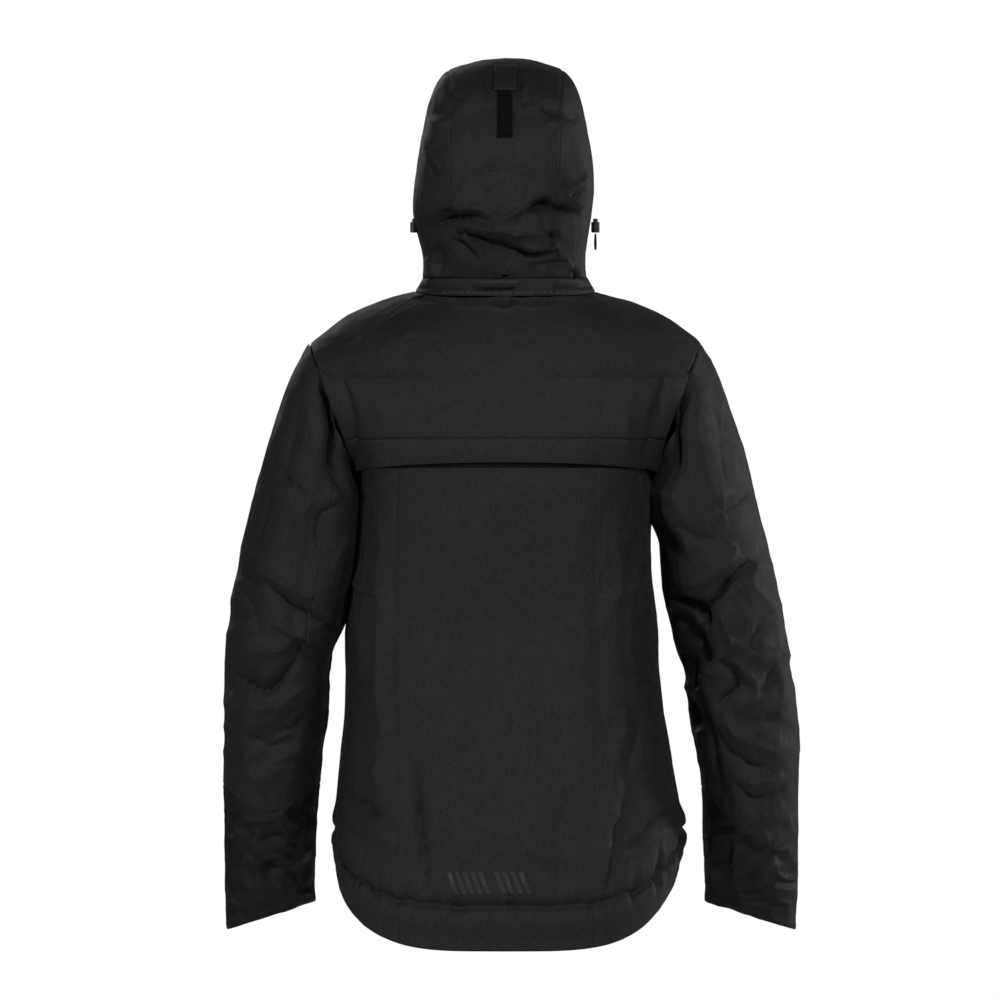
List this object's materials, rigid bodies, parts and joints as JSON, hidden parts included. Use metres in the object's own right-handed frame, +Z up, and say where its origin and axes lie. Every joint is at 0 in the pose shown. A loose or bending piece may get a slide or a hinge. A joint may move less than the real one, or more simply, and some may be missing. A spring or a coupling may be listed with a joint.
{
  "type": "hardshell jacket",
  "caption": "Hooded waterproof shell jacket, worn shape: full front zip, zipped hand pockets, back vent, adjustable hood, cuffs and hem.",
  "frame": {"origin": "the base of the wearer's neck, on the centre line, level with the neck seam", "axes": "+Z up, the back faces +Y, the front zip faces -Y, +X is the wearer's left"},
  "size_m": [0.6516, 0.2976, 1.0106],
  "materials": {
    "shell_cloth": "matt black woven face fabric",
    "panel_cloth": "smooth dark woven fabric",
    "mesh_cloth": "open knit mesh",
    "loop_pile": "brushed loop pile",
    "zip_tape": "coated water-repellent tape",
    "zip_metal": "black painted metal, satin",
    "moulded": "matt black moulded plastic",
    "cord": "braided elastic cord"
  },
  "bodies": {
    "jacket": {"back_panel": "shell_cloth", "side_back_L": "shell_cloth", "side_back_R": "shell_cloth", "front_panel_L": "shell_cloth", "front_panel_R": "shell_cloth", "back_yoke": "shell_cloth", "shoulder_cap_L": "shell_cloth", "shoulder_cap_R": "shell_cloth", "collar_back": "shell_cloth", "chin_panel_L": "shell_cloth", "chin_panel_R": "shell_cloth", "hem_back": "shell_cloth", "hem_front_L": "shell_cloth", "hem_front_R": "shell_cloth", "vent_mesh": "mesh_cloth", "pocket_bag_L": "mesh_cloth", "pocket_bag_R": "mesh_cloth", "storm_flap": "panel_cloth", "zip_tape_L": "zip_tape", "zip_tape_R": "zip_tape", "zip_box": "zip_metal", "pocket_zip_L": "zip_tape", "pocket_zip_R": "zip_tape", "hem_L_lock": "moulded", "hem_R_lock": "moulded"},
    "hood": {"hood_centre": "shell_cloth", "hood_brim": "shell_cloth", "hood_side_L": "shell_cloth", "hood_side_R": "shell_cloth", "hood_L_lock": "moulded", "hood_R_lock": "moulded", "hood_cord_R": "cord", "hood_loop_field": "loop_pile"},
    "hood_tab": {"hood_tab": "shell_cloth"},
    "hanger_loop": {"hanger_loop": "shell_cloth"},
    "vent_flap": {"vent_flap": "shell_cloth"},
    "zip_slider": {"zip_slider": "zip_metal"},
    "zip_puller": {"zip_puller": "moulded"},
    "upper_arm_L": {"upper_sleeve_L": "shell_cloth", "underarm_panel_L": "shell_cloth"},
    "lower_arm_L": {"forearm_L": "shell_cloth", "cuff_L": "panel_cloth"},
    "cuff_tab_L": {"cuff_tab_L": "shell_cloth"},
    "pocket_slider_L": {"pocket_slider_L": "zip_metal"},
    "pocket_puller_L": {"pocket_puller_L": "moulded"},
    "hood_button_L": {"hood_L_button": "moulded"},
    "hem_button_L": {"hem_L_button": "moulded"},
    "upper_arm_R": {"upper_sleeve_R": "shell_cloth", "underarm_panel_R": "shell_cloth"},
    "lower_arm_R": {"forearm_R": "shell_cloth", "cuff_R": "panel_cloth"},
    "cuff_tab_R": {"cuff_tab_R": "shell_cloth"},
    "pocket_slider_R": {"pocket_slider_R": "zip_metal"},
    "pocket_puller_R": {"pocket_puller_R": "moulded"},
    "hood_button_R": {"hood_R_button": "moulded"},
    "hem_button_R": {"hem_R_button": "moulded"}
  },
  "joints": [
    {"name": "hood_fold", "type": "hinge", "parent": "jacket", "child": "hood", "pos_m": [0, 0.079, 0.0135], "axis": [-1, 0, 0], "range_deg": [0, 80]},
    {"name": "hood_tab_peel", "type": "hinge", "parent": "hood", "child": "hood_tab", "pos_m": [0, 0.03, 0.2532], "axis": [1, 0, 0], "range_deg": [0, 110]},
    {"name": "hanger_flip", "type": "hinge", "parent": "jacket", "child": "hanger_loop", "pos_m": [0.0085, 0.0872, 0.01175], "axis": [1, 0, 0], "range_deg": [0, 30]},
    {"name": "vent_lift", "type": "hinge", "parent": "jacket", "child": "vent_flap", "pos_m": [0, 0.115, -0.168], "axis": [1, 0, 0], "range_deg": [0, 12]},
    {"name": "zip_slide", "type": "slide", "parent": "jacket", "child": "zip_slider", "axis": [0, 0.0567, 0.9984], "range_m": [-0.66, 0]},
    {"name": "zip_puller", "type": "hinge", "parent": "zip_slider", "child": "zip_puller", "pos_m": [0, -0.11073, 0.0122], "axis": [-1, 0, 0], "range_deg": [0, 90]},
    {"name": "shoulder_L", "type": "hinge", "parent": "jacket", "child": "upper_arm_L", "pos_m": [0.2222, 0, -0.0602], "axis": [0, -1, 0], "range_deg": [0, 50]},
    {"name": "elbow_L", "type": "hinge", "parent": "upper_arm_L", "child": "lower_arm_L", "pos_m": [0.259, -0.0896, -0.4185], "axis": [-0.9748, 0, -0.2231], "range_deg": [0, 75], "stiffness_Nm_per_rad": 0.1, "springref_deg": -28.65},
    {"name": "cuff_tab_L", "type": "hinge", "parent": "lower_arm_L", "child": "cuff_tab_L", "pos_m": [0.32088, -0.09191, -0.69423], "axis": [0.0413, 0.1182, 0.9921], "range_deg": [0, 110]},
    {"name": "pocket_slide_L", "type": "slide", "parent": "jacket", "child": "pocket_slider_L", "axis": [-0.2306, -0.0641, 0.9709], "range_m": [-0.14, 0]},
    {"name": "pocket_puller_L", "type": "hinge", "parent": "pocket_slider_L", "child": "pocket_puller_L", "pos_m": [0.11071, -0.11527, -0.31455], "axis": [-0.8191, -0.5259, -0.2293], "range_deg": [0, 90]},
    {"name": "hood_button_L", "type": "slide", "parent": "hood", "child": "hood_button_L", "axis": [0, 0, -1], "range_m": [0, 0.003], "stiffness_N_per_m": 150},
    {"name": "hem_button_L", "type": "slide", "parent": "jacket", "child": "hem_button_L", "axis": [0, 0, -1], "range_m": [0, 0.003], "stiffness_N_per_m": 150},
    {"name": "shoulder_R", "type": "hinge", "parent": "jacket", "child": "upper_arm_R", "pos_m": [-0.2222, 0, -0.0602], "axis": [0, 1, 0], "range_deg": [0, 50]},
    {"name": "elbow_R", "type": "hinge", "parent": "upper_arm_R", "child": "lower_arm_R", "pos_m": [-0.259, -0.0896, -0.4185], "axis": [-0.9748, 0, 0.2231], "range_deg": [0, 75], "stiffness_Nm_per_rad": 0.1, "springref_deg": -28.65},
    {"name": "cuff_tab_R", "type": "hinge", "parent": "lower_arm_R", "child": "cuff_tab_R", "pos_m": [-0.32088, -0.09191, -0.69423], "axis": [0.0413, -0.1182, -0.9921], "range_deg": [0, 110]},
    {"name": "pocket_slide_R", "type": "slide", "parent": "jacket", "child": "pocket_slider_R", "axis": [0.2306, -0.0641, 0.9709], "range_m": [-0.14, 0]},
    {"name": "pocket_puller_R", "type": "hinge", "parent": "pocket_slider_R", "child": "pocket_puller_R", "pos_m": [-0.11071, -0.11527, -0.31455], "axis": [-0.8191, 0.5259, 0.2293], "range_deg": [0, 90]},
    {"name": "hood_button_R", "type": "slide", "parent": "hood", "child": "hood_button_R", "axis": [0, 0, -1], "range_m": [0, 0.003], "stiffness_N_per_m": 150},
    {"name": "hem_button_R", "type": "slide", "parent": "jacket", "child": "hem_button_R", "axis": [0, 0, -1], "range_m": [0, 0.003], "stiffness_N_per_m": 150}
  ]
}
